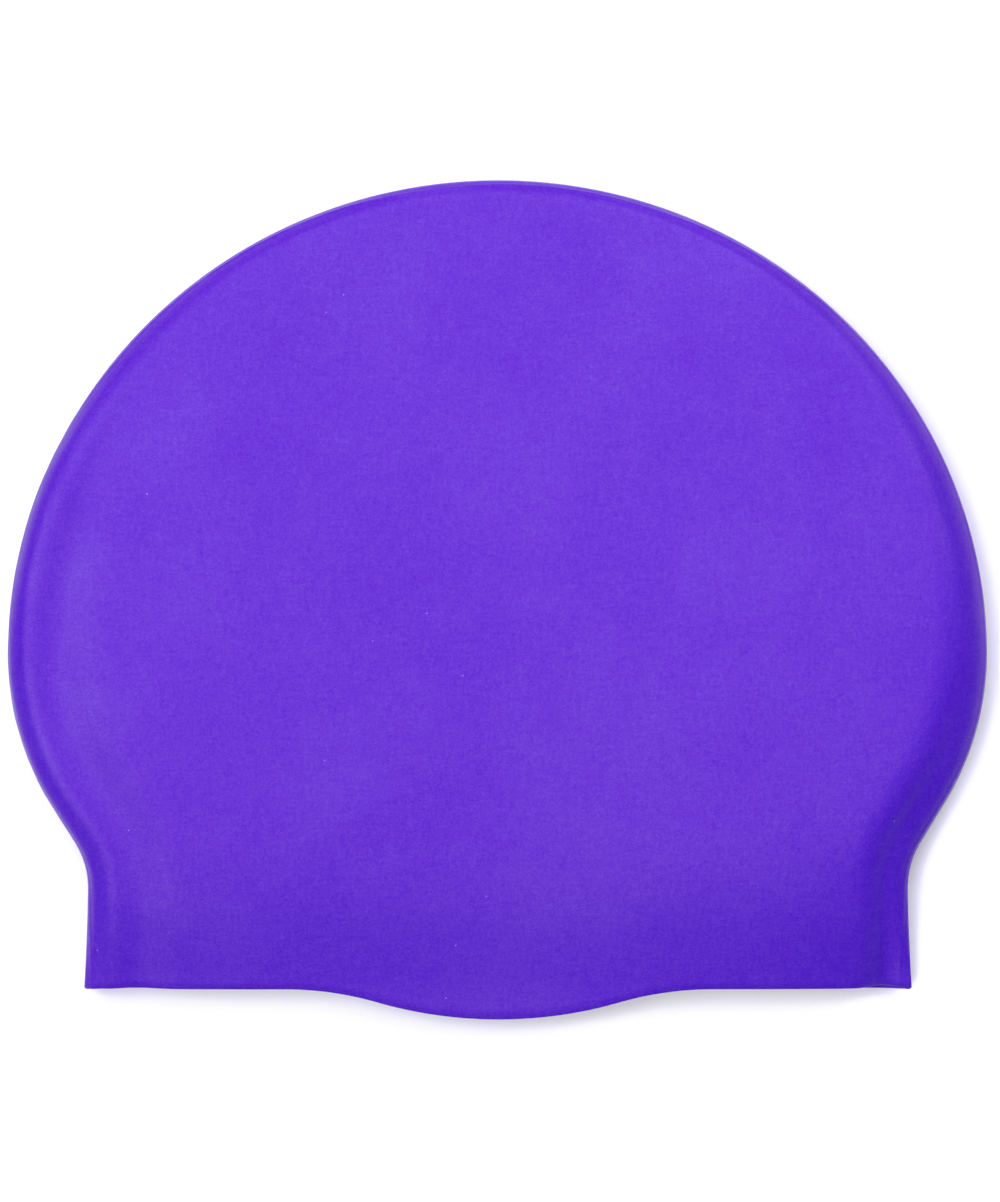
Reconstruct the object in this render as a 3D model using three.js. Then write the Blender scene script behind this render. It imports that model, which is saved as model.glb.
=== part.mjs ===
// A moulded silicone swim cap, lying on one of its two broad sides.
// It is one piece, a thin skin in the form of a flattened pouch: an oval crown, round cheeks, a
// slightly narrower neck, and an open rim whose upper and lower edges each carry a shallow ear lobe.
// The lower side lies flat. The upper side stands on a rolled margin and sags a little in the middle.
// Millimetres. +X runs across the cap, +Y from the rim to the crown, +Z up. The origin is at the
// middle of the cap's footprint, on the surface that it lies on.
import * as THREE from "three";

// Outline, as seen from above. Heights are measured up from the straight stretches of the rim.
const capWidth = 220.8;
const capHeight = 183.4;
const cheekHeight = 76.1;
const cheekRadius = 65;
const neckHeight = 23.3;
const neckWidth = 185.3;
const neckRadius = 19.3;
const rimWidth = 187.4;
const flareBend = 1.5; // 1 is a straight flare from neck to rim, and more bends it outwards late

// Ear lobe, the same on the upper and the lower edge of the rim
const lobeWidth = 96.4;
const lobeDepth = 7.1;
const lobeTipRadius = 95;
const lobeFilletRadius = 73;
const lobeReach = 34; // how far above the rim the skin is still drawn down with the lobe

// Thickness of the pouch, and of the skin that it is made of
const pouchThickness = 20;
const rollWidth = 15; // from the margin in to the shoulder of the upper side, at the cheeks
const lowerRollShare = 0.7; // the lower side's roll is narrower, because the weight flattens it
const marginShare = 0.44; // height of the margin line, as a share of the upper side's height
const rollFullness = 2; // 2 is an elliptical roll, and more is squarer at the margin
const sagDepth = 2.6; // how far the middle of the upper side sinks below its shoulder
const dentDepth = 1.1; // of an ordinary soft dent of the upper side
const wall = 1;
const rimWall = 1.5;
const rimBand = 9; // over this distance from the rim the skin thins from rimWall to wall

// The pouch from rim to crown: height is a share of capHeight, top a share of pouchThickness, roll a
// share of rollWidth and sag a share of sagDepth.
const sections = [
  { height: -0.05, top: 0.42, roll: 0.72, sag: 0.2 },
  { height: 0.0, top: 0.53, roll: 0.78, sag: 0.3 },
  { height: 0.05, top: 0.68, roll: 0.84, sag: 0.5 },
  { height: 0.1, top: 0.81, roll: 0.9, sag: 0.65 },
  { height: 0.16, top: 0.91, roll: 0.96, sag: 0.8 },
  { height: 0.24, top: 0.97, roll: 1.0, sag: 0.9 },
  { height: 0.36, top: 1.0, roll: 0.97, sag: 1.0 },
  { height: 0.52, top: 0.93, roll: 0.78, sag: 0.95 },
  { height: 0.7, top: 0.76, roll: 0.54, sag: 0.8 },
  { height: 0.86, top: 0.54, roll: 0.36, sag: 0.55 },
  { height: 1.0, top: 0.34, roll: 0.25, sag: 0.3 },
];

// Soft dents of the upper side, the last two where the rim's corners droop: x and spread are shares
// of half the capWidth, height a share of capHeight and depth a multiple of dentDepth, below 0 for a
// swelling.
const dents = [
  { x: -0.76, height: 0.73, spread: 0.1, depth: 0.8 },
  { x: -0.34, height: 0.87, spread: 0.16, depth: -0.6 },
  { x: -0.35, height: 0.79, spread: 0.14, depth: 0.9 },
  { x: -0.13, height: 0.94, spread: 0.12, depth: 1.0 },
  { x: 0.28, height: 0.9, spread: 0.13, depth: 0.7 },
  { x: 0.3, height: 0.61, spread: 0.1, depth: 0.5 },
  { x: 0.87, height: -0.02, spread: 0.22, depth: 3.6 },
  { x: -0.84, height: -0.05, spread: 0.2, depth: 2.0 },
];

// Fineness of the facets
const domeSteps = 21;
const bendSteps = 5; // for each of the two arcs between cheek and neck
const flareSteps = 4;
const rollSteps = 6;
const fieldSteps = 9;
const spineHalfWidth = 5; // the ribs stop this far from the middle line
const spineShare = 0.62; // how far up the dome the middle line runs

const halfWidth = capWidth / 2;
const domeHeight = capHeight - cheekHeight;

// A column of the section table at a height above the rim, eased smoothly from row to row.
function section(column, height) {
  const share = height / capHeight;
  const last = sections.length - 1;
  const slope = (row) => {
    const below = sections[Math.max(row - 1, 0)];
    const above = sections[Math.min(row + 1, last)];
    return (above[column] - below[column]) / (above.height - below.height);
  };
  let row = 0;
  while (row < last - 1 && share > sections[row + 1].height) row += 1;
  const [from, to] = [sections[row], sections[row + 1]];
  const span = to.height - from.height;
  const t = THREE.MathUtils.clamp((share - from.height) / span, 0, 1);
  const start = (1 + 2 * t) * (1 - t) ** 2 * from[column] + t * (1 - t) ** 2 * span * slope(row);
  const end = t * t * (3 - 2 * t) * to[column] + t * t * (t - 1) * span * slope(row + 1);
  return start + end;
}

// Two tangent arcs that bend opposite ways, with a straight stretch between them if there is room.
// They leave and arrive in the same direction, and cover `along` in it and `across` to its side.
// Each point has its two distances and the angle that the line has turned through.
function doubleBend(along, across, firstRadius, lastRadius, steps) {
  const side = Math.sign(across) || 1;
  const shift = Math.max(Math.abs(across), 1e-6);
  const reach = along ** 2 + shift ** 2;
  const shrink = Math.min(1, reach / (2 * shift * (firstRadius + lastRadius)));
  const radii = [firstRadius * shrink, lastRadius * shrink];
  const sum = radii[0] + radii[1];
  const straight = Math.sqrt(Math.max(0, reach - 2 * sum * shift));
  const turn = Math.atan2(along, sum - shift) - Math.atan2(straight, sum);
  const points = [];
  for (let i = 0; i <= steps; i += 1) {
    const angle = (turn * i) / steps;
    points.push({
      along: radii[0] * Math.sin(angle),
      across: side * radii[0] * (1 - Math.cos(angle)),
      angle: side * angle,
    });
  }
  for (let i = steps; i >= 0; i -= 1) {
    const angle = (turn * i) / steps;
    points.push({
      along: along - radii[1] * Math.sin(angle),
      across: side * (shift - radii[1] * (1 - Math.cos(angle))),
      angle: side * angle,
    });
  }
  return points;
}

// Right half of the margin, from next to the crown's top down to the corner of the rim. Each station
// has its place, the outward direction, and the place where its rib ends beside the middle line.
function marginStations() {
  const stations = [];
  const add = (x, height, outX, outY, endX, endHeight) => {
    const out = new THREE.Vector2(outX, outY).normalize();
    stations.push({ x, height, out, endX, endHeight });
  };
  for (let i = 0; i <= domeSteps; i += 1) {
    const angle = ((Math.PI / 2) * (i + 0.5)) / (domeSteps + 0.5);
    const [sin, cos] = [Math.sin(angle), Math.cos(angle)];
    add(
      halfWidth * sin, cheekHeight + domeHeight * cos,
      sin / halfWidth, cos / domeHeight,
      spineHalfWidth * Math.sqrt(sin), cheekHeight + spineShare * domeHeight * cos,
    );
  }
  const narrowing = (capWidth - neckWidth) / 2;
  const bend = doubleBend(cheekHeight - neckHeight, narrowing, cheekRadius, neckRadius, bendSteps);
  for (const { along, across, angle } of bend.slice(1)) {
    const height = cheekHeight - along;
    add(halfWidth - across, height, Math.cos(angle), -Math.sin(angle), spineHalfWidth, height);
  }
  for (let i = 1; i <= flareSteps; i += 1) {
    const share = i / flareSteps;
    const x = (neckWidth + (rimWidth - neckWidth) * share ** flareBend) / 2;
    add(x, neckHeight * (1 - share), 1, 0, spineHalfWidth, neckHeight * (1 - share));
  }
  return stations;
}

// The lobe's drop below the straight rim, at a distance from the middle line.
const lobeCurve = doubleBend(lobeWidth / 2, lobeDepth, lobeTipRadius, lobeFilletRadius, 40);
function lobeDrop(x) {
  const after = lobeCurve.findIndex((point) => point.along >= Math.abs(x));
  if (after < 0) return 0;
  if (after === 0) return lobeDepth;
  const [a, b] = [lobeCurve[after - 1], lobeCurve[after]];
  const t = (Math.abs(x) - a.along) / Math.max(b.along - a.along, 1e-9);
  return lobeDepth - THREE.MathUtils.lerp(a.across, b.across, t);
}

// How far the dents lower the upper side at a place seen from above.
function dentDrop(x, height) {
  return dents.reduce((drop, dent) => {
    const away = Math.hypot(x - dent.x * halfWidth, height - dent.height * capHeight);
    return drop + dentDepth * dent.depth * Math.exp(-((away / (dent.spread * halfWidth)) ** 2));
  }, 0);
}

// One point of the outer surface, on a station's rib. `side` is 1 for the right half and -1 for the
// left. `roll` runs from 0 at the margin to 1 at the shoulder, and `across` from 0 at the shoulder to 1
// at the rib's end beside the middle line.
function skinPoint(station, side, upper, roll, across) {
  const inset = roll * rollWidth * section("roll", station.height) * (upper ? 1 : lowerRollShare);
  const x = THREE.MathUtils.lerp(station.x - station.out.x * inset, station.endX, across);
  const fromRim = station.height - station.out.y * inset;
  const height = THREE.MathUtils.lerp(fromRim, station.endHeight, across);
  const drawn = THREE.MathUtils.clamp(1 - height / lobeReach, 0, 1) ** 2;
  const y = height - lobeDrop(x) * drawn;
  const margin = marginShare * pouchThickness * section("top", station.height);
  const rise = Math.sqrt(1 - (1 - roll) ** rollFullness);
  if (!upper) return new THREE.Vector3(side * x, y, margin * (1 - rise));
  const shoulder = pouchThickness * section("top", y) - dentDrop(side * x, y);
  const sag = sagDepth * section("sag", y) * 0.5 * (1 - Math.cos(Math.PI * across));
  return new THREE.Vector3(side * x, y, THREE.MathUtils.lerp(margin, shoulder, rise) - sag);
}

// A rib of the upper or the lower side, from just inside the margin to its end.
function rib(station, side, upper) {
  const points = [];
  for (let i = 1; i <= rollSteps; i += 1) {
    const roll = 1 - Math.cos(((Math.PI / 2) * i) / rollSteps);
    points.push(skinPoint(station, side, upper, roll, 0));
  }
  for (let i = 1; i <= fieldSteps; i += 1) {
    points.push(skinPoint(station, side, upper, 1, i / fieldSteps));
  }
  return points;
}

// The outer surface as points and faces, open at the rim. Its columns run from the left corner of the
// rim round the crown to the right corner. A column starts at the lower rib's end, crosses the margin
// and stops at the upper rib's end, and facing columns are joined across the middle line.
function outerSurface() {
  const right = marginStations();
  const columns = (side) => right.map((station) => [
    ...rib(station, side, false).reverse(),
    skinPoint(station, side, true, 0, 0),
    ...rib(station, side, true),
  ]);
  const all = [...columns(-1).reverse(), ...columns(1)];
  const rows = all[0].length;
  const indices = [];
  const quad = (...corners) => {
    const [a, b, c, d] = corners.map(([column, row]) => column * rows + row);
    indices.push(a, b, c, a, c, d);
  };
  for (let c = 0; c < all.length - 1; c += 1) {
    for (let r = 0; r < rows - 1; r += 1) quad([c, r], [c, r + 1], [c + 1, r + 1], [c + 1, r]);
  }
  for (let left = 0; left < right.length - 1; left += 1) {
    const across = all.length - 1 - left;
    const top = rows - 1;
    quad([left, top], [across, top], [across - 1, top], [left + 1, top]);
    quad([left, 0], [left + 1, 0], [across - 1, 0], [across, 0]);
  }
  const rimLoop = all[0].map((_, r) => r);
  rimLoop.push(...all[0].map((_, r) => all.length * rows - 1 - r));
  const heights = [...right].reverse().concat(right).flatMap(({ height }) => Array(rows).fill(height));
  return { points: all.flat(), indices, rimLoop, heights };
}

// The skin: the outer surface, an inner one a wall's thickness inside it, and the edge of the rim.
function skinGeometry() {
  const { points, indices, rimLoop, heights } = outerSurface();
  const outer = new THREE.BufferGeometry().setFromPoints(points);
  outer.setIndex(indices);
  outer.computeVertexNormals();
  const inner = points.map((point, i) => {
    const nearRim = THREE.MathUtils.clamp(1 - heights[i] / rimBand, 0, 1);
    const inward = new THREE.Vector3().fromBufferAttribute(outer.getAttribute("normal"), i).negate();
    return point.clone().addScaledVector(inward, THREE.MathUtils.lerp(wall, rimWall, nearRim));
  });
  const inside = (vertex) => vertex + points.length;
  const faces = [...indices];
  for (let i = 0; i < indices.length; i += 3) {
    faces.push(inside(indices[i]), inside(indices[i + 2]), inside(indices[i + 1]));
  }
  rimLoop.forEach((here, i) => {
    const next = rimLoop[(i + 1) % rimLoop.length];
    faces.push(here, inside(next), next, here, inside(here), inside(next));
  });
  const geometry = new THREE.BufferGeometry().setFromPoints([...points, ...inner]);
  geometry.setIndex(faces);
  geometry.computeVertexNormals();
  return geometry;
}

const silicone = new THREE.MeshStandardMaterial({ color: 0x6c3ade, roughness: 0.5, metalness: 0 });
const capShell = new THREE.Mesh(skinGeometry(), silicone);
capShell.name = "cap_shell";
capShell.position.y = -(capHeight - lobeDepth) / 2;

const cap = new THREE.Group();
cap.add(capShell);

export default cap;
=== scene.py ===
"""A moulded silicone swim cap, lying flat on a pale table and seen from straight above.

The cap is one thin skin in the form of a flattened pouch. Lengths in the classes are millimetres
unless a name says otherwise. The cap's width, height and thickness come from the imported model, and
meshes are made in metres in its frame: +X across the cap, +Y from the rim to the crown, +Z up.
"""
import logging
import math
from dataclasses import dataclass, field, fields
from enum import Enum

import bpy
import numpy as np
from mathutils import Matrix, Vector, noise


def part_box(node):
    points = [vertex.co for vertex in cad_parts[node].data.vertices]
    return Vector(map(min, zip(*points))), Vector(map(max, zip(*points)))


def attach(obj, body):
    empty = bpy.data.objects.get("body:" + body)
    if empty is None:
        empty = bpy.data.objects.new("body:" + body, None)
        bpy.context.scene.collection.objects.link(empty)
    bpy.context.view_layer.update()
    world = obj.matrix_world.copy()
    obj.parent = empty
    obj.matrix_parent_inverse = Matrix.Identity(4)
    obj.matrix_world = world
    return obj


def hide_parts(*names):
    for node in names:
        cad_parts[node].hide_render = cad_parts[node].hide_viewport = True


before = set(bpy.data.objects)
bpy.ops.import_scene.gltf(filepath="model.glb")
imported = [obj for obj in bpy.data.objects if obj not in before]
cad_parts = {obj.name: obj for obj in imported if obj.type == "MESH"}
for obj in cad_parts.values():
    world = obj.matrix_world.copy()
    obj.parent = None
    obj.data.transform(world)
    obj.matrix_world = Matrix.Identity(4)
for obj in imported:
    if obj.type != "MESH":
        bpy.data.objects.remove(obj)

MM = 0.001
NODE = "cap_shell"
# Sockets of a Mix node that mixes colours
MIX_A = 6
MIX_B = 7
MIX_RESULT = 2
# The view curve that acts on red, green and blue alike
ALL_CHANNELS = 3
log = logging.getLogger("swim_cap")


class Side(Enum):
    """Half of the cap that a form of the surface is on, by the sign of x."""

    LEFT = -1
    BOTH = 0
    RIGHT = 1


@dataclass(frozen=True)
class Section:
    """The pouch at one height, a share of the cap's height above the rim.

    The other fields are shares of the cap's greatest thickness, roll width and sag.
    """

    height: float
    top: float
    roll: float
    sag: float


SECTIONS = (
    Section(height=-0.05, top=0.42, roll=0.72, sag=0.2),
    Section(height=0.0, top=0.53, roll=0.78, sag=0.3),
    Section(height=0.05, top=0.68, roll=0.84, sag=0.5),
    Section(height=0.1, top=0.81, roll=0.9, sag=0.65),
    Section(height=0.16, top=0.91, roll=0.96, sag=0.8),
    Section(height=0.24, top=0.97, roll=1.0, sag=0.9),
    Section(height=0.36, top=1.0, roll=0.97, sag=1.0),
    Section(height=0.52, top=0.93, roll=0.78, sag=0.95),
    Section(height=0.7, top=0.76, roll=0.54, sag=0.8),
    Section(height=0.86, top=0.54, roll=0.36, sag=0.55),
    Section(height=1.0, top=0.34, roll=0.25, sag=0.3),
)


@dataclass(frozen=True)
class Dent:
    """A soft dent of the upper side, or a swelling where its depth is below 0.

    x and spread are shares of half the cap's width, height a share of its height and depth a
    multiple of the shell's dent depth. The last two dents are where the rim's corners droop.
    """

    x: float
    height: float
    spread: float
    depth: float


DENTS = (
    Dent(x=-0.76, height=0.73, spread=0.1, depth=0.8),
    Dent(x=-0.34, height=0.87, spread=0.16, depth=-0.6),
    Dent(x=-0.35, height=0.79, spread=0.14, depth=0.9),
    Dent(x=-0.13, height=0.94, spread=0.12, depth=1.0),
    Dent(x=0.28, height=0.9, spread=0.13, depth=0.7),
    Dent(x=0.3, height=0.61, spread=0.1, depth=0.5),
    Dent(x=0.87, height=-0.02, spread=0.22, depth=3.6),
    Dent(x=-0.84, height=-0.05, spread=0.2, depth=2.0),
)


@dataclass(frozen=True)
class Ripple:
    """A soft ridge that follows the margin, or a groove where its rise is below 0.

    inset is its distance in from the margin, width how wide it is and rise how high it stands.
    It runs from start to end, shares of the way round half the margin from crown to rim, and fade is
    the share over which it comes and goes. The left flank is full beside the margin and then has a
    groove, whose inner wall catches the light. The right flank has a groove beside the margin, deeper
    at the corner of the rim. The others are fine lines that the mould leaves.
    """

    inset: float
    width: float
    rise: float
    start: float
    end: float
    side: Side = Side.BOTH
    fade: float = 0.08


RIPPLES = (
    Ripple(inset=12.5, width=4.8, rise=-1.25, start=0.46, end=1.12, side=Side.LEFT, fade=0.2),
    Ripple(inset=4.0, width=3.4, rise=2.2, start=0.36, end=1.0, side=Side.LEFT, fade=0.2),
    Ripple(inset=5.0, width=3.4, rise=-1.3, start=0.6, end=1.5, side=Side.RIGHT, fade=0.26),
    Ripple(inset=7.0, width=4.0, rise=-1.3, start=0.92, end=1.6, side=Side.RIGHT, fade=0.1),
    Ripple(inset=2.3, width=0.9, rise=0.25, start=0.62, end=1.1, side=Side.LEFT),
    Ripple(inset=4.0, width=1.1, rise=-0.14, start=0.62, end=0.95, side=Side.LEFT),
    Ripple(inset=6.4, width=1.3, rise=0.13, start=0.66, end=1.1, side=Side.LEFT),
    Ripple(inset=3.0, width=0.5, rise=0.06, start=0.1, end=0.55, side=Side.BOTH),
    Ripple(inset=5.6, width=0.6, rise=0.05, start=0.2, end=0.75, side=Side.RIGHT),
)


def smooth_step(share: np.ndarray) -> np.ndarray:
    """Ease from 0 to 1 while a share runs from 0 to 1.

    Args:
        share: The share, below 0 before the step and above 1 after it.

    Returns:
        The eased share.
    """
    share = np.clip(share, 0, 1)
    return share * share * (3 - 2 * share)


def bell(distance: np.ndarray, width: float) -> np.ndarray:
    """Give a soft bump's height, 1 in its middle.

    Args:
        distance: Distance from the middle of the bump.
        width: Distance at which its height has fallen to 1 / e.

    Returns:
        The height at each distance.
    """
    return np.exp(-((distance / width) ** 2))


def double_bend(along: float, across: float, radii: tuple[float, float], steps: int) -> np.ndarray:
    """Give two tangent arcs that bend opposite ways, with a straight stretch where there is room.

    Args:
        along: Distance covered in the direction of both ends.
        across: Distance covered to the side, above 0.
        radii: Radius of the first and of the last arc.
        steps: Steps in each arc.

    Returns:
        Rows of distance along, distance across and angle turned.
    """
    reach = along ** 2 + across ** 2
    shrink = min(1.0, reach / (2 * across * sum(radii)))
    first, last = radii[0] * shrink, radii[1] * shrink
    straight = math.sqrt(max(0.0, reach - 2 * (first + last) * across))
    turn = math.atan2(along, first + last - across) - math.atan2(straight, first + last)
    angles = np.linspace(0, turn, steps + 1)
    sine, bulge = np.sin(angles), 1 - np.cos(angles)
    start = np.column_stack([first * sine, first * bulge, angles])
    finish = np.column_stack([along - last * sine, across - last * bulge, angles])
    return np.vstack([start, finish[::-1]])


@dataclass
class Stations:
    """Places round one half of the margin, from next to the crown's top to the corner of the rim.

    x and height place each on the margin, heading is the outward direction's angle, end_x and
    end_height say where its rib ends beside the middle line, and way runs from 0 at the crown to 1.
    """

    x: np.ndarray
    height: np.ndarray
    heading: np.ndarray
    end_x: np.ndarray
    end_height: np.ndarray
    way: np.ndarray


@dataclass
class CapOutline:
    """The cap's outline from above. Heights are measured up from the straight rim."""

    cap_width: float
    cap_height: float
    cheek_height: float = 76.1
    cheek_radius: float = 65.0
    neck_height: float = 23.3
    neck_width: float = 185.3
    neck_radius: float = 19.3
    rim_width: float = 187.4
    flare_bend: float = 1.5
    lobe_width: float = 96.4
    lobe_depth: float = 7.1
    lobe_tip_radius: float = 95.0
    lobe_fillet_radius: float = 73.0
    lobe_reach: float = 34.0
    spine_half_width: float = 1.0
    spine_share: float = 0.62
    curve_steps: int = 200

    def stations(self, spacing: float, rim_gap: float) -> Stations:
        """Place stations evenly round the right half of the margin.

        Args:
            spacing: Distance between stations.
            rim_gap: Distance that is left between the last station and the rim, for its edge.

        Returns:
            The stations.
        """
        dome = self.cap_height - self.cheek_height
        half = self.cap_width / 2
        turn = np.linspace(0, math.pi / 2, self.curve_steps)
        curve = np.column_stack([
            half * np.sin(turn), self.cheek_height + dome * np.cos(turn),
            np.arctan2(np.cos(turn) / dome, np.sin(turn) / half),
            self.spine_half_width * np.sqrt(np.sin(turn)),
            self.cheek_height + self.spine_share * dome * np.cos(turn),
        ])
        bend = double_bend(
            self.cheek_height - self.neck_height, (self.cap_width - self.neck_width) / 2,
            (self.cheek_radius, self.neck_radius), self.curve_steps,
        )
        share = np.linspace(0, 1 - rim_gap / self.neck_height, self.curve_steps)
        flare = (self.rim_width - self.neck_width) * share ** self.flare_bend
        side_x = np.concatenate([half - bend[:, 1], (self.neck_width + flare) / 2])
        side_height = np.concatenate([self.cheek_height - bend[:, 0], self.neck_height * (1 - share)])
        side_heading = np.concatenate([-bend[:, 2], np.zeros_like(share)])
        spine = np.full_like(side_x, self.spine_half_width)
        below = np.column_stack([side_x, side_height, side_heading, spine, side_height])
        line = np.vstack([curve, below])
        steps = np.hypot(*np.diff(line[:, :2], axis=0).T)
        run = np.concatenate([[0], np.cumsum(steps)])
        count = round(run[-1] / spacing)
        way = (np.arange(count) + 0.5) / (count - 0.5)
        columns = [np.interp(way * run[-1], run, column) for column in line.T]
        return Stations(*columns, way=way)

    def lobe_drop(self, x: np.ndarray) -> np.ndarray:
        """Give the ear lobe's drop below the straight rim.

        Args:
            x: Distances from the middle line.

        Returns:
            The drop at each.
        """
        radii = (self.lobe_tip_radius, self.lobe_fillet_radius)
        curve = double_bend(self.lobe_width / 2, self.lobe_depth, radii, self.curve_steps)
        return self.lobe_depth - np.interp(np.abs(x), curve[:, 0], curve[:, 1])


def vertex_normals(points: np.ndarray, quads: np.ndarray) -> np.ndarray:
    """Work out a mesh's normals at its points, each face counted by its area.

    Args:
        points: Places, one row each.
        quads: Corners of each face, one row each.

    Returns:
        A unit normal for each point.
    """
    a, b, c, d = (points[quads[:, corner]] for corner in range(4))
    faces = np.cross(c - a, d - b)
    normals = np.zeros_like(points)
    for corner in range(4):
        np.add.at(normals, quads[:, corner], faces)
    return normals / np.linalg.norm(normals, axis=1, keepdims=True)


@dataclass
class CapShell:
    """The cap's one skin: its outer side, its inner side and the rounded edge of its rim.

    margin_clear is how far in from the margin the ripples reach their full strength. The parting
    line runs parting_girth above the margin, measured along the skin. Noise makes its rise uneven,
    by up to parting_unevenness of it: parting_beats cells of noise on the way round half the margin,
    from the row of noise parting_row. waves holds the length and the depth of each slow wave.
    """

    outline: CapOutline
    thickness: float
    roll_width: float = 15.0
    lower_roll_share: float = 0.7
    margin_share: float = 0.44
    roll_fullness: float = 2.0
    sag_depth: float = 2.6
    dent_depth: float = 1.1
    wall: float = 1.0
    rim_wall: float = 1.5
    rim_band: float = 9.0
    rim_rounding: float = 0.45
    spacing: float = 1.65
    roll_steps: int = 36
    field_steps: int = 48
    lower_roll_steps: int = 14
    lower_field_steps: int = 26
    lip_steps: int = 6
    margin_clear: float = 1.0
    parting_rise: float = 0.16
    parting_width: float = 0.4
    parting_girth: float = 3.2
    parting_beats: float = 40.0
    parting_row: float = 3.0
    parting_unevenness: float = 0.8
    waves: tuple[tuple[float, float], ...] = ((44.0, 0.3), (17.0, 0.07))

    def section(self, column: str, height: np.ndarray) -> np.ndarray:
        """Read a column of the section table, eased smoothly from row to row.

        Args:
            column: The column's name.
            height: Heights above the rim.

        Returns:
            The column's share at each height.
        """
        rows = np.array([section.height for section in SECTIONS])
        values = np.array([getattr(section, column) for section in SECTIONS])
        before = np.maximum(np.arange(len(rows)) - 1, 0)
        after = np.minimum(np.arange(len(rows)) + 1, len(rows) - 1)
        slopes = (values[after] - values[before]) / (rows[after] - rows[before])
        share = height / self.outline.cap_height
        row = np.clip(np.searchsorted(rows, share) - 1, 0, len(rows) - 2)
        span = rows[row + 1] - rows[row]
        t = np.clip((share - rows[row]) / span, 0, 1)
        start = (1 + 2 * t) * (1 - t) ** 2 * values[row] + t * (1 - t) ** 2 * span * slopes[row]
        end = t ** 2 * (3 - 2 * t) * values[row + 1] + t ** 2 * (t - 1) * span * slopes[row + 1]
        return start + end

    def dent_drop(self, x: np.ndarray, height: np.ndarray) -> np.ndarray:
        """Give how far the dents lower the upper side.

        Args:
            x: Places across the cap.
            height: Places above the rim.

        Returns:
            The drop at each place.
        """
        half = self.outline.cap_width / 2
        drop = np.zeros_like(x)
        for dent in DENTS:
            away = np.hypot(x - dent.x * half, height - dent.height * self.outline.cap_height)
            drop += self.dent_depth * dent.depth * bell(away, dent.spread * half)
        return drop

    def side_points(
        self, at: Stations, mirror: int, upper: bool, roll: np.ndarray, across: np.ndarray
    ) -> np.ndarray:
        """Place points of one broad side's outer surface, on ribs that leave the margin.

        Args:
            at: The margin's stations, one for each rib.
            mirror: 1 for the right half and -1 for the left half.
            upper: True for the upper side and False for the side that the cap lies on.
            roll: From 0 at the margin to 1 at the shoulder, along a rib.
            across: From 0 at the shoulder to 1 at the rib's end, along a rib.

        Returns:
            Places by station and by step along the rib, with inset from the margin as a fourth number.
        """
        column = {item.name: getattr(at, item.name)[:, None] for item in fields(at)}
        width = self.roll_width * self.section("roll", column["height"])
        inset = roll * width * (1 if upper else self.lower_roll_share)
        start_x = column["x"] - np.cos(column["heading"]) * inset
        start_height = column["height"] - np.sin(column["heading"]) * inset
        x = start_x + (column["end_x"] - start_x) * across
        flat_height = start_height + (column["end_height"] - start_height) * across
        inset = inset + np.hypot(x - start_x, flat_height - start_height)
        drawn = np.clip(1 - flat_height / self.outline.lobe_reach, 0, 1) ** 2
        height = flat_height - self.outline.lobe_drop(x) * drawn
        margin = self.margin_share * self.thickness * self.section("top", column["height"])
        rise = np.sqrt(1 - (1 - roll) ** self.roll_fullness)
        if upper:
            shoulder = self.thickness * self.section("top", height) - self.dent_drop(mirror * x, height)
            sag = self.sag_depth * self.section("sag", height) * 0.5 * (1 - np.cos(math.pi * across))
            z = margin + (shoulder - margin) * rise - sag
        else:
            z = margin * (1 - rise) * np.ones_like(across)
        return np.stack(np.broadcast_arrays(mirror * x, height, z, inset), axis=-1)

    def rib_steps(self, rolls: int, across: int) -> tuple[np.ndarray, np.ndarray]:
        """Give roll and across along a rib, without the margin itself.

        Args:
            rolls: Steps from the margin to the shoulder.
            across: Steps from the shoulder to the rib's end.

        Returns:
            The two shares at each step.
        """
        turn = np.linspace(0, math.pi / 2, rolls + 1)[1:]
        field_share = np.linspace(0, 1, across + 1)[1:]
        roll = np.concatenate([1 - np.cos(turn), np.ones(across)])
        return roll, np.concatenate([np.zeros(rolls), field_share])

    def outer_grid(self, at: Stations) -> np.ndarray:
        """Lay out the outer surface by column, from the rim's left corner round to its right one.

        Args:
            at: Stations of the right half of the margin.

        Returns:
            Places by column and row, with signed inset, below 0 on the lower side.
        """
        upper = self.rib_steps(self.roll_steps, self.field_steps)
        lower = self.rib_steps(self.lower_roll_steps, self.lower_field_steps)
        halves = []
        for mirror in (-1, 1):
            top = self.side_points(at, mirror, True, *upper)
            edge = self.side_points(at, mirror, True, np.zeros(1), np.zeros(1))
            under = self.side_points(at, mirror, False, *lower)[:, ::-1]
            under[..., 3] *= -1
            half = np.concatenate([under, edge, top], axis=1)
            halves.append(half[::-1] if mirror < 0 else half)
        return np.concatenate(halves)

    def grid_quads(self, columns: int, rows: int) -> np.ndarray:
        """Join the grid's points with faces that look out, open at the rim.

        Args:
            columns: How many columns the grid has.
            rows: How many rows it has.

        Returns:
            Corners of each face.
        """
        index = np.arange(columns * rows).reshape(columns, rows)
        skin = [index[:-1, :-1], index[:-1, 1:], index[1:, 1:], index[1:, :-1]]
        quads = [np.stack([corner.ravel() for corner in skin], axis=1)]
        half = columns // 2
        left, right = index[:half], index[::-1][:half]
        for row, order in ((rows - 1, (0, 1, 2, 3)), (0, (3, 2, 1, 0))):
            strip = [left[:-1, row], right[:-1, row], right[1:, row], left[1:, row]]
            quads.append(np.stack([strip[corner] for corner in order], axis=1))
        return np.concatenate(quads)

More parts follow.
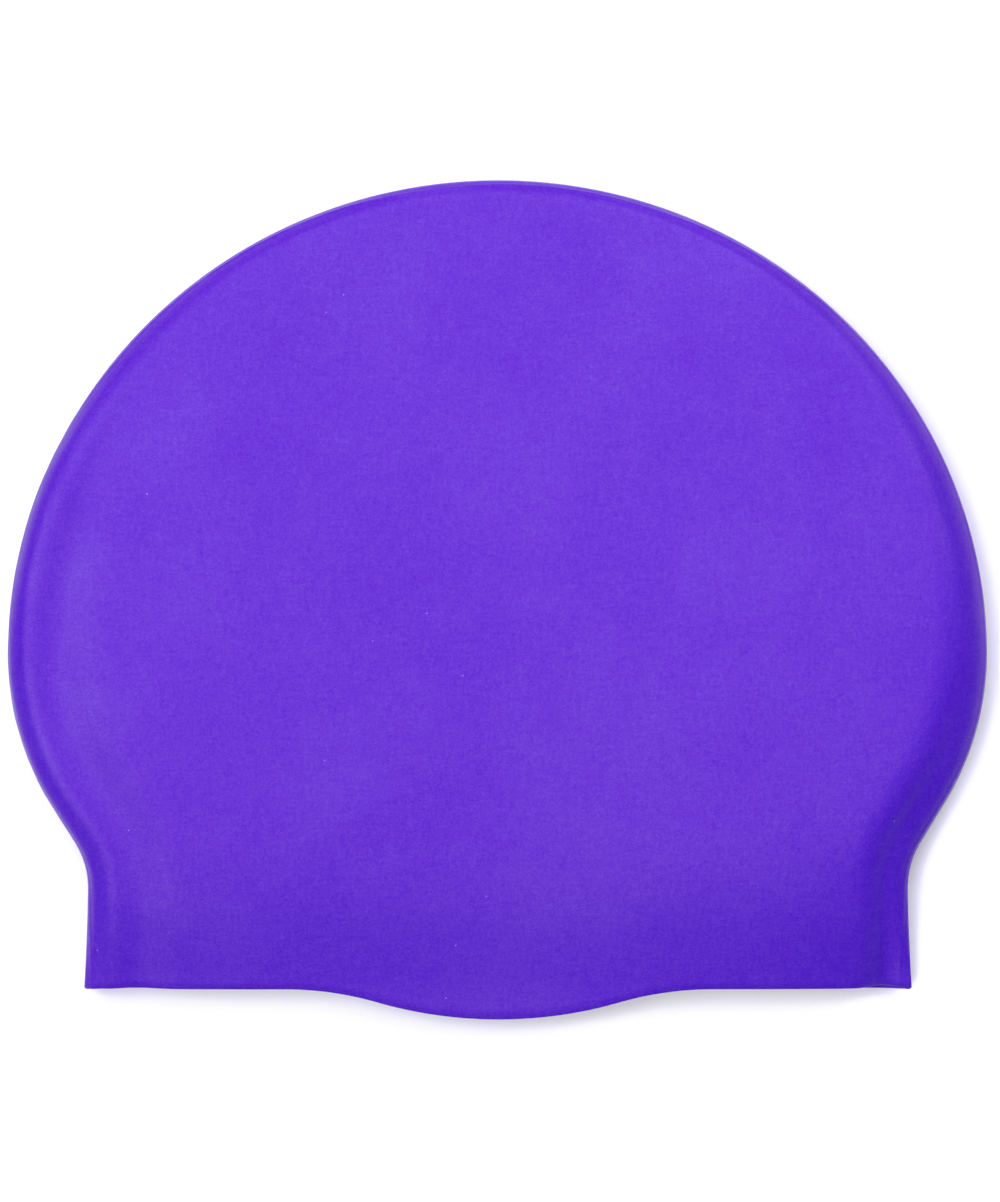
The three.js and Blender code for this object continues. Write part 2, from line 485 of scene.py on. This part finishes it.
    def relief(self, grid: np.ndarray, way: np.ndarray) -> np.ndarray:
        """Give the low relief of the skin: ripples, the parting line and slow waves.

        Args:
            grid: Places by column and row, with signed inset.
            way: How far round half the margin each column is, from 0 at the crown to 1.

        Returns:
            How far each point stands out along its normal.
        """
        x, height, _, inset = np.moveaxis(grid, -1, 0)
        steps = np.linalg.norm(np.diff(grid[..., :3], axis=1), axis=2)
        girth = np.concatenate([np.zeros((len(grid), 1)), np.cumsum(steps, axis=1)], axis=1)
        margin_row = self.lower_roll_steps + self.lower_field_steps
        girth -= girth[:, margin_row:margin_row + 1]
        out = np.zeros_like(x)
        clear = smooth_step(inset / self.margin_clear)
        for ripple in RIPPLES:
            strength = smooth_step(np.minimum(way - ripple.start, ripple.end - way) / ripple.fade)
            here = (ripple.side is Side.BOTH) | (np.sign(x) == ripple.side.value)
            out += ripple.rise * strength[:, None] * bell(inset - ripple.inset, ripple.width) * here * clear
        uneven = np.array([
            noise.noise(Vector((place * self.parting_beats, self.parting_row, 0.0)))
            for place in way * np.sign(x[:, margin_row])
        ])[:, None]
        line = bell(girth - self.parting_girth, self.parting_width)
        out += self.parting_rise * (1 + self.parting_unevenness * uneven) * line
        broad = np.clip(inset / self.roll_width, 0, 1)
        places = list(zip(x.flat, height.flat))
        for length, depth in self.waves:
            wave = [noise.noise(Vector((a / length, b / length, length))) for a, b in places]
            out += depth * broad * np.reshape(wave, x.shape)
        return out

    def rim_edge(
        self, outer: np.ndarray, inner: np.ndarray, loop: np.ndarray, back: np.ndarray
    ) -> np.ndarray:
        """Round off the edge of the rim between the outer and the inner side.

        Args:
            outer: Places of the outer side.
            inner: Places of the inner side.
            loop: The rim's points in order.
            back: For each of them, the point one column up the skin.

        Returns:
            Places of the rings between the two sides, by ring and by point of the rim.
        """
        away = outer[loop] - outer[back]
        away /= np.linalg.norm(away, axis=1, keepdims=True)
        middle = (outer[loop] + inner[loop]) / 2
        reach = outer[loop] - middle
        rings = []
        for step in range(1, self.lip_steps):
            turn = math.pi * step / self.lip_steps
            rings.append(middle + reach * math.cos(turn) + away * self.rim_rounding * math.sin(turn))
        return np.array(rings)

    def build(self) -> bpy.types.Object:
        """Make the skin's mesh.

        Returns:
            The object, at the origin, with its place in its mesh.
        """
        at = self.outline.stations(self.spacing, self.rim_rounding)
        grid = self.outer_grid(at)
        columns, rows = grid.shape[:2]
        way = np.concatenate([at.way[::-1], at.way])
        quads = self.grid_quads(columns, rows)
        flat = grid[..., :3].reshape(-1, 3)
        flat = flat + vertex_normals(flat, quads) * self.relief(grid, way).reshape(-1, 1)
        heights = np.repeat(np.concatenate([at.height[::-1], at.height]), rows)
        near_rim = smooth_step(1 - heights / self.rim_band)
        walls = self.wall + (self.rim_wall - self.wall) * near_rim
        inner = flat - vertex_normals(flat, quads) * walls[:, None]
        index = np.arange(columns * rows).reshape(columns, rows)
        loop = np.concatenate([index[0], index[-1][::-1]])
        back = np.concatenate([index[1], index[-2][::-1]])
        rings = self.rim_edge(flat, inner, loop, back)
        chain = [loop]
        for number in range(len(rings)):
            chain.append(2 * len(flat) + number * len(loop) + np.arange(len(loop)))
        chain.append(loop + len(flat))
        edges = [
            np.stack([near, far, np.roll(far, -1), np.roll(near, -1)], axis=1)
            for near, far in zip(chain, chain[1:])
        ]
        faces = np.concatenate([quads, quads[:, ::-1] + len(flat), *edges])
        points = np.concatenate([flat, inner, rings.reshape(-1, 3)])
        points[:, 1] -= (self.outline.cap_height - self.outline.lobe_depth) / 2
        mesh = bpy.data.meshes.new("silicone_skin")
        mesh.from_pydata((points * MM).tolist(), [], faces.tolist())
        mesh.shade_smooth()
        skin = bpy.data.objects.new("silicone_skin", mesh)
        bpy.context.scene.collection.objects.link(skin)
        return skin


def linear(code: str) -> tuple[float, float, float, float]:
    """Turn an sRGB hex colour to linear light.

    Args:
        code: The colour as six hex digits.

    Returns:
        Red, green, blue and an alpha of 1.
    """
    parts = [int(code[i:i + 2], 16) / 255 for i in (0, 2, 4)]
    red, green, blue = (p / 12.92 if p <= 0.04045 else ((p + 0.055) / 1.055) ** 2.4 for p in parts)
    return red, green, blue, 1.0


def add_node(tree: bpy.types.NodeTree, kind: str, inputs: dict, **settings: object) -> bpy.types.Node:
    """Add a node with its settings, values and links.

    Args:
        tree: The material's node tree.
        kind: The node's type name, without the leading ShaderNode.
        inputs: Values or output sockets, by the name or number of the input that takes them.
        settings: Properties of the node itself.

    Returns:
        The node.
    """
    node = tree.nodes.new("ShaderNode" + kind)
    for name, value in settings.items():
        setattr(node, name, value)
    for name, value in inputs.items():
        if isinstance(value, bpy.types.NodeSocket):
            tree.links.new(value, node.inputs[name])
        else:
            node.inputs[name].default_value = value
    return node


@dataclass(frozen=True)
class MouldedSilicone:
    """Silicone rubber moulded in a sand-blasted mould.

    The blasted mould gives a satin face, which spreads the softboxes to a pale haze. Paler colour is
    painted on in clouds and in fine strokes: partly a dry bloom where it was wiped, partly painted sheen
    that stands in for the uneven haze of the softboxes' reflection. A little lint sticks to it.
    """

    body: str = "4a08b0"
    # The paler colour mixed into the body: partly a dry bloom, partly painted sheen.
    bloom_and_sheen: str = "5733b7"
    lint: str = "7f67ce"
    ior: float = 1.41
    specular: float = 0.41
    roughness: float = 0.46
    roughness_spread: float = 0.05
    haze_span: tuple[float, float] = (0.3, 0.7)
    cloud_mm: float = 26.0
    cloud_share: float = 0.45
    stroke_mm: tuple[float, float] = (3.2, 0.7)
    stroke_share: float = 0.48
    speckle_mm: float = 0.4
    speckle_share: float = 1.6
    # How far the paler mottling of bloom and painted sheen reaches below and above its middle.
    bloom_and_sheen_below: float = 0.27
    bloom_and_sheen_above: float = 0.33
    grain_mm: float = 0.45
    grain_depth_mm: float = 0.02
    lint_spacing_mm: float = 9.0
    lint_size: float = 0.02

    def build(self) -> bpy.types.Material:
        """Make the material.

        Returns:
            The material.
        """
        material = bpy.data.materials.new("moulded_silicone")
        material.use_nodes = True
        tree = material.node_tree
        shader = tree.nodes["Principled BSDF"]
        place = add_node(tree, "TexCoord", {}).outputs["Object"]
        clouds = add_node(tree, "TexNoise", {
            "Vector": place, "Scale": 1 / (self.cloud_mm * MM), "Detail": 4.0, "Roughness": 0.6,
        })
        # Paler mottling in the colour: partly a dry bloom, partly painted sheen.
        bloom_and_sheen = self.bloom_and_sheen_share(tree, place, clouds.outputs[0])
        colour = add_node(tree, "Mix", {
            "Factor": bloom_and_sheen, MIX_A: linear(self.body), MIX_B: linear(self.bloom_and_sheen),
        }, data_type="RGBA")
        lint = add_node(tree, "TexVoronoi", {
            "Vector": place, "Scale": 1 / (self.lint_spacing_mm * MM), "Randomness": 1.0,
        })
        speck = add_node(tree, "Math", {
            0: lint.outputs["Distance"], 1: self.lint_size,
        }, operation="LESS_THAN")
        tinted = add_node(tree, "Mix", {
            "Factor": speck.outputs[0], MIX_A: colour.outputs[MIX_RESULT], MIX_B: linear(self.lint),
        }, data_type="RGBA")
        tree.links.new(tinted.outputs[MIX_RESULT], shader.inputs["Base Color"])
        grain = add_node(tree, "TexNoise", {
            "Vector": place, "Scale": 1 / (self.grain_mm * MM), "Detail": 2.0, "Roughness": 0.6,
        })
        bump = add_node(tree, "Bump", {
            "Height": grain.outputs[0], "Distance": self.grain_depth_mm * MM, "Strength": 1.0,
        })
        tree.links.new(bump.outputs[0], shader.inputs["Normal"])
        haze = add_node(tree, "MapRange", {
            "Value": clouds.outputs[0], "From Min": self.haze_span[0], "From Max": self.haze_span[1],
            "To Min": self.roughness + self.roughness_spread,
            "To Max": self.roughness - self.roughness_spread,
        })
        tree.links.new(haze.outputs[0], shader.inputs["Roughness"])
        shader.inputs["IOR"].default_value = self.ior
        shader.inputs["Specular IOR Level"].default_value = self.specular
        return material

    def bloom_and_sheen_share(
        self, tree: bpy.types.NodeTree, place: bpy.types.NodeSocket, clouds: bpy.types.NodeSocket
    ) -> bpy.types.NodeSocket:
        """Work out how much paler colour is painted in, partly dry bloom and partly painted sheen: clouds,
        strokes that cross each other, and speckle.

        Args:
            tree: The material's node tree.
            place: Place on the cap.
            clouds: The noise of the clouds.

        Returns:
            The share of paler colour, from 0 for none to 1.
        """
        long, short = (1 / (size * MM) for size in self.stroke_mm)
        total = add_node(tree, "Math", {0: clouds, 1: self.cloud_share}, operation="MULTIPLY").outputs[0]
        weights = self.cloud_share
        for scale, share in (
            ((long, short, long), self.stroke_share),
            ((short, long, long), self.stroke_share),
            ((1 / (self.speckle_mm * MM),) * 3, self.speckle_share),
        ):
            stretched = add_node(tree, "Mapping", {"Vector": place, "Scale": scale})
            texture = add_node(tree, "TexNoise", {
                "Vector": stretched.outputs[0], "Scale": 1.0, "Detail": 3.0, "Roughness": 0.65,
            })
            total = add_node(tree, "Math", {
                0: texture.outputs[0], 1: share, 2: total,
            }, operation="MULTIPLY_ADD").outputs[0]
            weights += share
        middle = 0.5 * weights
        return add_node(tree, "MapRange", {
            "Value": total, "From Min": middle - self.bloom_and_sheen_below, "From Max": middle + self.bloom_and_sheen_above,
        }).outputs[0]


@dataclass(frozen=True)
class CoatedBoard:
    """Matt coated white board, as laid on a photographer's table: even, bright and without gloss."""

    white: str = "fbfbfc"
    shade: str = "f8f8fa"
    fibre_mm: float = 1.5
    roughness: float = 0.9

    def build(self) -> bpy.types.Material:
        """Make the material.

        Returns:
            The material.
        """
        material = bpy.data.materials.new("coated_board")
        material.use_nodes = True
        tree = material.node_tree
        shader = tree.nodes["Principled BSDF"]
        place = add_node(tree, "TexCoord", {}).outputs["Object"]
        fibre = add_node(tree, "TexNoise", {
            "Vector": place, "Scale": 1 / (self.fibre_mm * MM), "Detail": 3.0,
        })
        colour = add_node(tree, "Mix", {
            "Factor": fibre.outputs[0], MIX_A: linear(self.white), MIX_B: linear(self.shade),
        }, data_type="RGBA")
        tree.links.new(colour.outputs[MIX_RESULT], shader.inputs["Base Color"])
        shader.inputs["Roughness"].default_value = self.roughness
        return material


@dataclass(frozen=True)
class Softbox:
    """One soft light. Place, target and size are in metres, brightness is light from each square metre."""

    name: str
    place: tuple[float, float, float]
    size: tuple[float, float]
    brightness: float
    target: tuple[float, float, float] = (0.0, 0.0, 0.0)

    def build(self) -> bpy.types.Object:
        """Make the light and turn it to its target.

        Returns:
            The light.
        """
        light = bpy.data.lights.new(self.name, "AREA")
        light.shape = "RECTANGLE"
        light.size, light.size_y = self.size
        light.energy = self.brightness * math.pi * self.size[0] * self.size[1]
        lamp = bpy.data.objects.new(self.name, light)
        lamp.location = self.place
        lamp.rotation_euler = (Vector(self.target) - lamp.location).to_track_quat("-Z", "Y").to_euler()
        bpy.context.scene.collection.objects.link(lamp)
        return lamp


@dataclass
class Studio:
    """The table, the soft lights and the camera on its copy stand.

    film_curve holds levels of light, each with the level that it is shown at. It and the brightness
    of each light were fitted to the photograph's tones. margin_level is the height of the cap's
    margin in metres, where the camera's scale is the photograph's.
    """

    board_size: float = 6.0
    world: str = "353535"
    camera_distance: float = 1.5
    mm_per_pixel: float = 0.22586
    image_size: tuple[int, int] = (1000, 1202)
    cap_middle: tuple[float, float] = (498.0, 600.0)
    margin_level: float = 0.0085
    film_curve: tuple[tuple[float, float], ...] = (
        (0.05, 0.03), (0.1, 0.074), (0.17, 0.166), (0.45, 0.45), (0.74, 0.73), (0.92, 0.98),
    )
    sensor: float = 36.0
    lights: tuple[Softbox, ...] = field(default_factory=lambda: (
        Softbox("overhead_softbox", (-0.1, 0.1, 1.75), (1.3, 1.3), 1.6),
        Softbox("left_overhead_softbox", (-0.75, 0.1, 1.45), (0.7, 0.9), 3.9),
        Softbox("back_overhead_softbox", (0.0, 0.85, 1.35), (1.0, 0.7), 2.2),
        Softbox("front_overhead_softbox", (0.1, -0.75, 1.4), (1.0, 0.7), 1.0),
        Softbox("front_left_overhead_softbox", (-0.6, -0.55, 1.35), (0.8, 0.8), 3.2),
        Softbox("back_softbox", (0.0, 0.85, 0.7), (0.9, 0.6), 1.1),
        Softbox("back_left_softbox", (-0.6, 0.6, 0.7), (0.8, 0.6), 1.3),
        Softbox("back_right_softbox", (0.6, 0.6, 0.7), (0.8, 0.6), 4.1),
        Softbox("front_left_softbox", (-0.6, -0.6, 0.7), (0.8, 0.6), 1.3),
    ))

    def build(self) -> None:
        """Make the table, the lights, the world and the camera."""
        self.build_board()
        for light in self.lights:
            light.build()
        world = bpy.data.worlds.new("studio")
        world.use_nodes = True
        world.node_tree.nodes["Background"].inputs["Color"].default_value = linear(self.world)
        bpy.context.scene.world = world
        view = bpy.context.scene.view_settings
        view.view_transform = "Standard"
        view.use_curve_mapping = True
        for level, shown in self.film_curve:
            view.curve_mapping.curves[ALL_CHANNELS].points.new(level, shown)
        view.curve_mapping.update()
        self.build_camera()

    def build_board(self) -> None:
        """Lay the white board that the cap rests on."""
        half = self.board_size / 2
        corners = [(-half, -half, 0), (half, -half, 0), (half, half, 0), (-half, half, 0)]
        mesh = bpy.data.meshes.new("board")
        mesh.from_pydata(corners, [], [(0, 1, 2, 3)])
        mesh.materials.append(CoatedBoard().build())
        board = bpy.data.objects.new("board", mesh)
        bpy.context.scene.collection.objects.link(board)

    def build_camera(self) -> None:
        """Set the camera straight above, at the photograph's scale on the level of the margin."""
        scale = self.mm_per_pixel * MM
        off_x = (self.image_size[0] / 2 - self.cap_middle[0]) * scale
        off_y = (self.cap_middle[1] - self.image_size[1] / 2) * scale
        data = bpy.data.cameras.new("copy_camera")
        data.sensor_width = self.sensor
        data.lens = self.sensor * self.camera_distance / (max(self.image_size) * scale)
        camera = bpy.data.objects.new("copy_camera", data)
        camera.location = (off_x, off_y, self.margin_level + self.camera_distance)
        bpy.context.scene.collection.objects.link(camera)
        bpy.context.scene.camera = camera


def main() -> None:
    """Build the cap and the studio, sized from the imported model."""
    logging.basicConfig(level=logging.INFO, format="%(message)s")
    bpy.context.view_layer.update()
    low, high = (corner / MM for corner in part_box(NODE))
    outline = CapOutline(
        cap_width=high.x - low.x, cap_height=high.y - low.y - CapOutline.lobe_depth,
    )
    shell = CapShell(outline, thickness=high.z - low.z)
    skin = shell.build()
    skin.data.materials.append(MouldedSilicone().build())
    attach(skin, "root")
    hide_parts(NODE)
    log.info("%s: %d faces", skin.name, len(skin.data.polygons))
    Studio().build()
    log.info("studio: ready")


if __name__ == "__main__":
    main()
